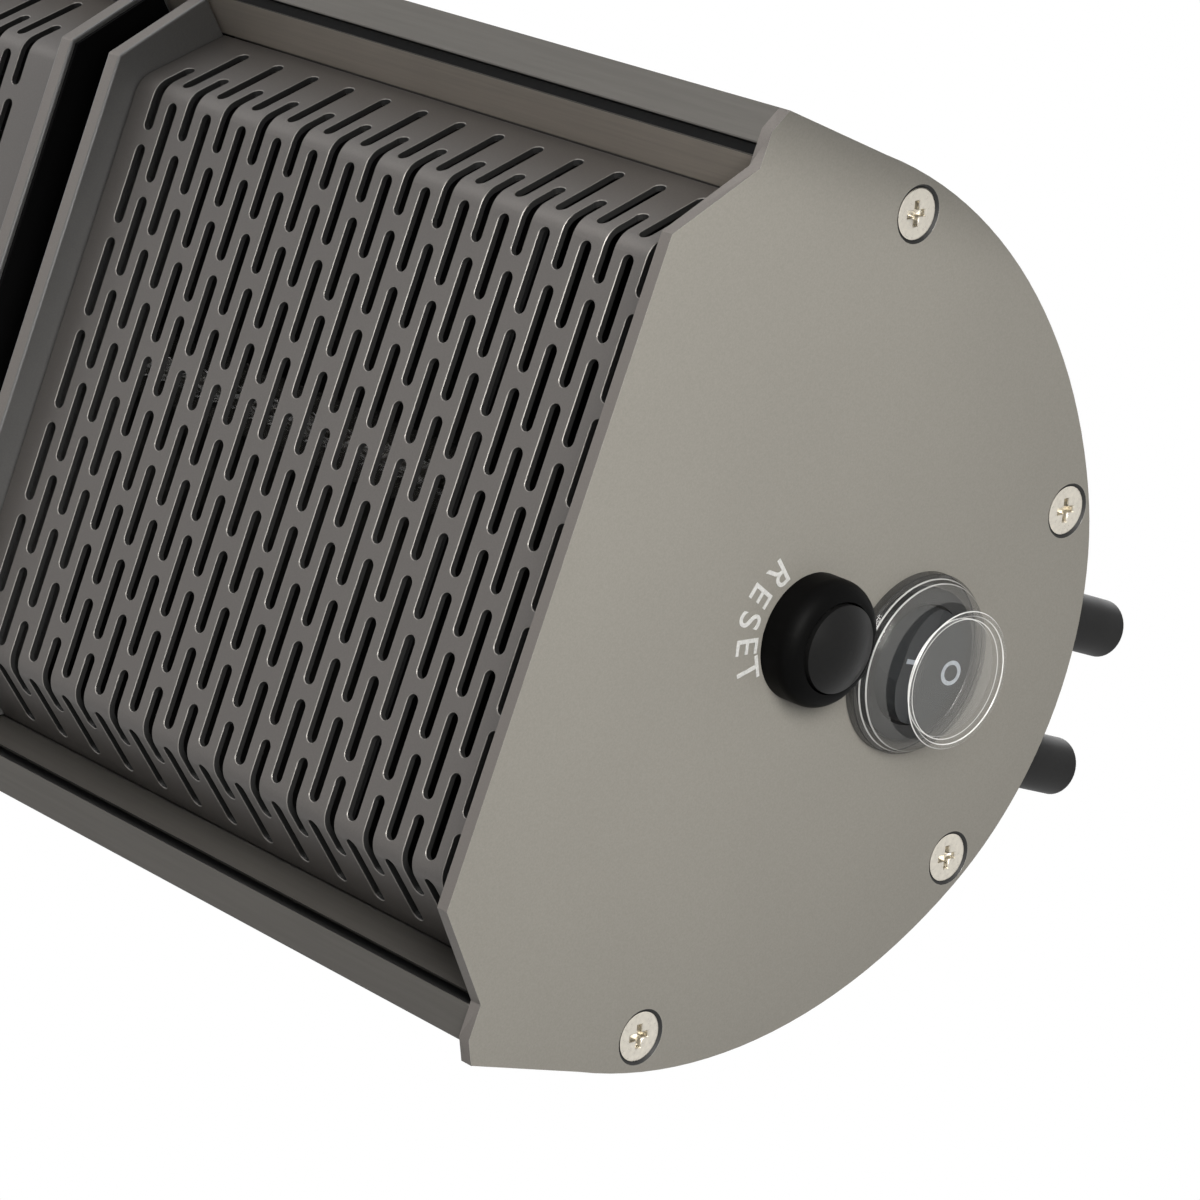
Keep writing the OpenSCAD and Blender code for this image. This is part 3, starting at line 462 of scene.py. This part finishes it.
# %% [markdown]
# ## Edges that catch the light
#
# No real edge is perfectly sharp. A solid arrives as loose triangles, so a copy of it is merged first,
# and then only the edges that the eye meets are bevelled: the rims of the plates, the lips of the
# housing, the screw heads and the punched slots. The copy then stands in for its solid. Plain bmesh
# bevels were chosen over a Bevel modifier, because each kind of edge can be picked by its own rule.

# %% Eased copies
SMOOTH_LIMIT = math.radians(20)
SHARP_LIMIT = math.radians(30)
RUN_ON_LIMIT = math.radians(35)


def is_sharp(edge):
    return len(edge.link_faces) == 2 and edge.calc_face_angle(0) > SHARP_LIMIT


def cut_faces(bm):
    """The walls of punched holes: they face along the bar somewhere and run on smoothly from there."""
    found = {face for face in bm.faces if abs(face.normal.x) > 0.6}
    fresh = list(found)
    while fresh:
        face = fresh.pop()
        for edge in face.edges:
            for other in edge.link_faces:
                if other not in found and edge.calc_face_angle(9) < RUN_ON_LIMIT:
                    found.add(other)
                    fresh.append(other)
    return found


def eased_copy(name, width, pick, finish, segments=2, more=(), cuts=False):
    """A merged copy of a solid whose picked sharp edges are bevelled; it replaces the solid. Its
    finishes are the main one, the one for the bevels and, with cuts, the one for punched walls."""
    bm = bmesh.new()
    bm.from_mesh(nodes[name].data)
    bmesh.ops.remove_doubles(bm, verts=bm.verts, dist=0.000004)
    bm.normal_update()
    if cuts:
        for face in cut_faces(bm):
            face.material_index = 2
    picked = [e for e in bm.edges if is_sharp(e) and pick(e)]
    made = bmesh.ops.bevel(bm, geom=picked, affect="EDGES", offset=width, offset_type="OFFSET",
        segments=segments, profile=0.5, material=-1, clamp_overlap=True)
    for face in made["faces"]:
        face.material_index = 1
    mesh = mesh_from(bm, name + "_eased")
    mesh.shade_smooth()
    mesh.set_sharp_from_angle(angle=SMOOTH_LIMIT)
    piece = added(name + "_eased", mesh)
    for layer in (finish, *more):
        mesh.materials.append(layer)
    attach(piece, "heater")
    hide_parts(name)
    return piece, len(picked)


print("easing helper ready")

# %% [markdown]
# A plate's big faces are shaded flat, or long thin triangles would streak them. Its front rim gets a darker
# copy of its finish as painted shade, the front part of its bevel a light finish as a painted highlight,
# and the seats of its screws are painted black as shade.

# %% Plates
HALF_BAR = 0.2604
POST_TOP = 0.1266


def on_plate_rim(edge):
    """True for an edge in the plate's outer face that no screw seat touches."""
    in_face = all(abs(v.co.x - face_x) < 1e-5 for v in edge.verts)
    return in_face and not any(0.3 < abs(f.normal.x) < 0.95 for f in edge.link_faces)


for name, side in (("control_end_plate", 1), ("supply_end_plate", -1)):
    face_x = side * HALF_BAR
    plate, count = eased_copy(name, 0.00022, on_plate_rim, plate_finish,
        more=(bevel_highlight_finish, rim_shade_finish, painted_shade_finish))
    for face in plate.data.polygons:
        deep = abs(face.center.x - face_x) > 0.0003
        sink = 0.5 < abs(face.normal.x) < 0.9 and face.material_index != 1
        face.use_smooth = abs(face.normal.x) < 0.99
        # Front-facing bevel faces keep the painted highlight; the others take the plate finish.
        if face.material_index == 1 and face.normal.y > -0.3:
            face.material_index = 0
        # The plate's front rim takes the darker copy, as painted shade.
        if abs(face.normal.x) < 0.5 and face.normal.y < 0 and deep:
            face.material_index = 2
        # The screw seats are painted black as shade.
        if sink:
            face.material_index = 3
    print(name, count, "edges eased")
for n in range(1, 7):
    plate, count = eased_copy(f"divider_plate_{n}", 0.00030, lambda e: e.calc_length() > 0.002,
        divider_finish, more=(divider_finish, rim_shade_finish))
    for face in plate.data.polygons:
        # The edges take the darker copy of the plate finish, as painted shade.
        face.material_index = 2 if abs(face.normal.x) < 0.3 else 0
        face.use_smooth = abs(face.normal.x) < 0.99
print("six divider plates eased, last", count, "edges")

# %% [markdown]
# The groove beside each lip is narrow and deep, and its faces are painted black as shade. They are found
# by their height on the section. The upper slanted wall gets a much lighter copy of the housing finish, a
# painted reflection of the bright slope below it.

# %% Housing lips
housing_piece, count = eased_copy("housing", 0.00028,
    lambda e: abs((e.verts[0].co - e.verts[1].co).x) > 0.3, housing_finish,
    more=(housing_finish, painted_shade_finish, wall_reflection_finish))
grooves = 0
for face in housing_piece.data.polygons:
    height, depth = face.center.z, face.center.y + POST_TOP
    beside_lip = 0.0603 < height < 0.0626 or -0.0602 < height < -0.0580
    # The upper slanted wall faces front and down, and it takes the painted reflection.
    if face.material_index == 0 and face.normal.y < -0.4 and face.normal.z < -0.4:
        face.material_index = 3
    # The groove faces are painted black as shade.
    if beside_lip and 0.0122 < depth < 0.0178 and face.material_index != 1:
        face.material_index = 2
        grooves += 1
print("housing", count, "edges eased,", grooves, "groove faces")

# %% Screw heads
_, count = eased_copy("end_plate_screws", 0.00030,
    lambda e: all(abs(v.co.x) > HALF_BAR - 0.0004 for v in e.verts), screw_finish, more=(screw_finish,))
print("screws", count, "edges eased")

# %% [markdown]
# Punching leaves a thin rim round every slot; it gets a lighter finish as a painted highlight, and the
# slot's steep wall is painted black as shade.

# %% Punched slots
def on_front(edge):
    """True for an edge between a front face and anything but the back."""
    facings = [face.normal.y for face in edge.link_faces]
    return min(facings) < -0.3 and max(facings) < 0.9


# Slot rims take the painted highlight, and slot walls the painted shade.
for n in range(1, 5):
    _, count = eased_copy(f"grille_{n}", 0.00012, on_front, grille_finish, segments=1,
        more=(slot_highlight_finish, painted_shade_finish), cuts=True)
print("grilles eased,", count, "edges each")

# %% [markdown]
# ## The clear cover
#
# A mould gives the cover small chamfers that gather light, so it is turned here from its own profile:
# each corner that shows gets a short chamfer, on the cup in a near-white finish and on the foot's upper
# corners in a softer light one, both painted highlights, and on the foot's outer wall in a near-black one,
# a painted shadow line; the whole is spun round the switch's axis. It has the same sizes as its solid.

# %% Clear cover
SWITCH_Y = -0.0502
CHAMFER = 0.00013
COVER_STEPS = 128


def section_point(radius, height):
    """A point on the cover's section, from millimetres over the plate."""
    return Vector((HALF_BAR + height / 1000, radius / 1000, 0))


# FOOT walls are painted darker as shade, EDGE and SOFT chamfers are painted highlights, RIM chamfers a
# painted dark outline.
# radius and height of each corner in millimetres, its chamfer's finish, and the next wall's finish
WALL, TOP, FOOT, EDGE, RIM, SOFT = range(6)
cover_profile = [
    (11.6, 0.05, None, FOOT), (13.7, 0.05, RIM, FOOT), (13.7, 1.60, RIM, FOOT), (13.1, 2.24, SOFT, FOOT),
    (12.7, 3.20, SOFT, TOP), (11.4, 4.32, None, TOP), (10.4, 4.98, None, WALL), (10.4, 9.40, EDGE, TOP),
    (9.6, 9.40, EDGE, WALL), (9.6, 8.80, None, TOP), (9.12, 8.80, None, EDGE), (8.97, 8.80, None, TOP),
    (0.0, 8.80, None, TOP), (0.0, 8.00, None, TOP),
    (9.0, 8.00, EDGE, WALL), (9.0, 4.23, None, WALL), (11.2, 3.29, None, WALL), (11.6, 2.40, None, WALL),
]
outline = []
for n, (radius, height, chamfer, wall) in enumerate(cover_profile):
    here = section_point(radius, height)
    if chamfer is None:
        outline.append((here, wall))
        continue
    for step, finish_index in ((-1, chamfer), (1, wall)):
        there = section_point(*cover_profile[(n + step) % len(cover_profile)][:2])
        outline.append((here + (there - here).normalized() * CHAMFER, finish_index))
bm = bmesh.new()
corners = [bm.verts.new(point) for point, _ in outline]
walls = [bm.edges.new((corners[n], corners[(n + 1) % len(corners)])) for n in range(len(corners))]
bmesh.ops.spin(bm, geom=corners + walls, cent=(0, 0, 0), axis=(1, 0, 0), angle=2 * math.pi,
    steps=COVER_STEPS, use_merge=True)
bmesh.ops.remove_doubles(bm, verts=bm.verts, dist=0.000002)
bmesh.ops.recalc_face_normals(bm, faces=bm.faces)
spots = [(((a + b) / 2).x, ((a + b) / 2).y, outline[n][1]) for n, (a, b) in enumerate(
    (outline[n][0], outline[(n + 1) % len(outline)][0]) for n in range(len(outline)))]
turned = math.cos(math.pi / COVER_STEPS)
for face in bm.faces:
    middle = face.calc_center_median()
    away = math.hypot(middle.y, middle.z) / turned
    face.material_index = min(spots, key=lambda spot: math.hypot(spot[0] - middle.x, spot[1] - away))[2]
bmesh.ops.translate(bm, verts=bm.verts, vec=(0, SWITCH_Y, 0))
cover_mesh = mesh_from(bm, "turned_cover")
cover_mesh.shade_smooth()
cover_mesh.set_sharp_from_angle(angle=SMOOTH_LIMIT)
cover_piece = added("turned_cover", cover_mesh)
for finish in (cover_finish, cover_top_finish, cover_foot_shade_finish, cover_chamfer_highlight_finish, cover_outline_shade_finish,
        cover_soft_highlight_finish):
    cover_mesh.materials.append(finish)
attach(cover_piece, "heater")
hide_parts("switch_cover")
print("cover turned:", len(cover_mesh.polygons), "faces,",
    sum(1 for f in cover_mesh.polygons if f.material_index == EDGE), "on its edges")

# %% [markdown]
# ## Printed marks
#
# Two kinds of mark are printed in pale ink: RESET in an arc beside the button, and the I and O on the
# rocker. Each letter is a text made into a mesh, then laid on its surface. The ink stands a few
# hundredths of a millimetre proud.

# %% Ink
def ink(name, base):
    finish, tree, shader = new_finish(name, base, 0.6)
    worn = noise(tree, 2500.0, detail=4.0)
    tint(tree, shader, base, spread(tree, worn, 0.80, 1.05))
    return finish


letter_ink = ink("letter_ink", (0.62, 0.62, 0.61))
mark_ink = ink("mark_ink", (0.55, 0.60, 0.66))
print("two inks")

# %% Letters beside the reset button
def at_section(x, depth, up_plate):
    """A point given by its depth behind the front edges and its height on the plate, in metres."""
    return Vector((x, depth - POST_TOP, up_plate))


def flat_letter(word):
    """A letter's mesh in the XY plane, centred on its own middle."""
    curve = bpy.data.curves.new(word, "FONT")
    curve.body = word
    curve.size = LETTER_SIZE
    curve.extrude = 0.00004
    curve.align_x, curve.align_y = "CENTER", "CENTER"
    curve.offset = LETTER_SIZE * 0.004
    holder = added(word, curve)
    mesh = bpy.data.meshes.new_from_object(holder)
    bpy.data.objects.remove(holder)
    low = Vector((min(v.co.x for v in mesh.vertices), min(v.co.y for v in mesh.vertices), 0))
    high = Vector((max(v.co.x for v in mesh.vertices), max(v.co.y for v in mesh.vertices), 0))
    mesh.transform(Matrix.Translation(-(low + high) / 2))
    mesh.transform(Matrix.Diagonal((0.95, 1, 1, 1)))
    return mesh


def place_flat(mesh, centre, across, upward):
    """Lays a flat mesh at a place, with its X along across and its Y along upward."""
    across, upward = across.normalized(), upward.normalized()
    out = across.cross(upward)
    turn = Matrix((across, upward, out)).transposed().to_4x4()
    mesh.transform(Matrix.Translation(centre) @ turn)


def merged(name, meshes, finish):
    """One piece of several meshes in one finish."""
    bm = bmesh.new()
    for mesh in meshes:
        bm.from_mesh(mesh)
    piece = added(name, mesh_from(bm, name))
    piece.data.materials.append(finish)
    return piece


UNIT = 0.00092
LETTER_SIZE = 0.0061
# each letter with its depth and height on the section, in units
letter_places = (("R", 46.2, 7.6), ("E", 43.9, 4.1), ("S", 43.4, 0.2), ("E", 44.6, -3.7), ("T", 46.5, -7.1))
reset_centre = at_section(HALF_BAR, 57.2 * UNIT, -0.2 * UNIT)
letters = []
for letter, depth, height in letter_places:
    place = at_section(HALF_BAR + 0.00005, depth * UNIT, height * UNIT)
    upward = reset_centre - place
    upward.x = 0
    across = upward.cross(Vector((1, 0, 0)))
    mesh = flat_letter(letter)
    place_flat(mesh, reset_centre + (place - reset_centre) * 1.03, across, upward)
    letters.append(mesh)
reset_letters = merged("reset_letters", letters, letter_ink)
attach(reset_letters, "heater")
print("reset letters:", len(reset_letters.data.polygons), "faces")

# %% Marks on the rocker
PIVOT = at_section(HALF_BAR - 0.001, 0.0764, 0)
TILT = math.radians(-9)


def on_rocker(share, lift):
    """A point on the rocker's face: share -1 is the end towards the windows, +1 the far end."""
    end_r, middle_h, end_h = 0.0082, 0.0034, 0.0045
    along = share * end_r
    high = middle_h + abs(share) * (end_h - middle_h) + lift
    x = high * math.cos(TILT) + along * math.sin(TILT)
    y = -high * math.sin(TILT) + along * math.cos(TILT)
    return PIVOT + Vector((x, y, 0))


def lay_on_rocker(mesh, share, lift, side=0.0):
    """Lays a flat mesh on one half of the rocker, moved sideways along Z."""
    along = (on_rocker(share * 1.1, 0) - on_rocker(share * 0.9, 0)).normalized() * (1 if share > 0 else -1)
    place_flat(mesh, on_rocker(share, lift) + Vector((0, 0, side)), along,
        along.cross(Vector((1, 0, 0))) * -1)


bm = bmesh.new()
bmesh.ops.create_cube(bm, size=1.0)
bmesh.ops.scale(bm, verts=bm.verts, vec=(0.0042, 0.0007, 0.00006))
bar = mesh_from(bm, "bar")
lay_on_rocker(bar, -0.62, 0.00004, side=0.0004)

bm = bmesh.new()
bmesh.ops.create_circle(bm, segments=48, radius=0.0019)
ring = bmesh.ops.extrude_edge_only(bm, edges=bm.edges[:])
inner = [g for g in ring["geom"] if isinstance(g, bmesh.types.BMVert)]
bmesh.ops.scale(bm, verts=inner, vec=(0.66, 0.66, 1))
bmesh.ops.scale(bm, verts=bm.verts, vec=(1.18, 1, 1))
circle = mesh_from(bm, "circle")
lay_on_rocker(circle, 0.78, 0.00006)
rocker_marks = merged("rocker_marks", [bar, circle], mark_ink)
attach(rocker_marks, "rocker")
print("rocker marks:", len(rocker_marks.data.polygons), "faces")
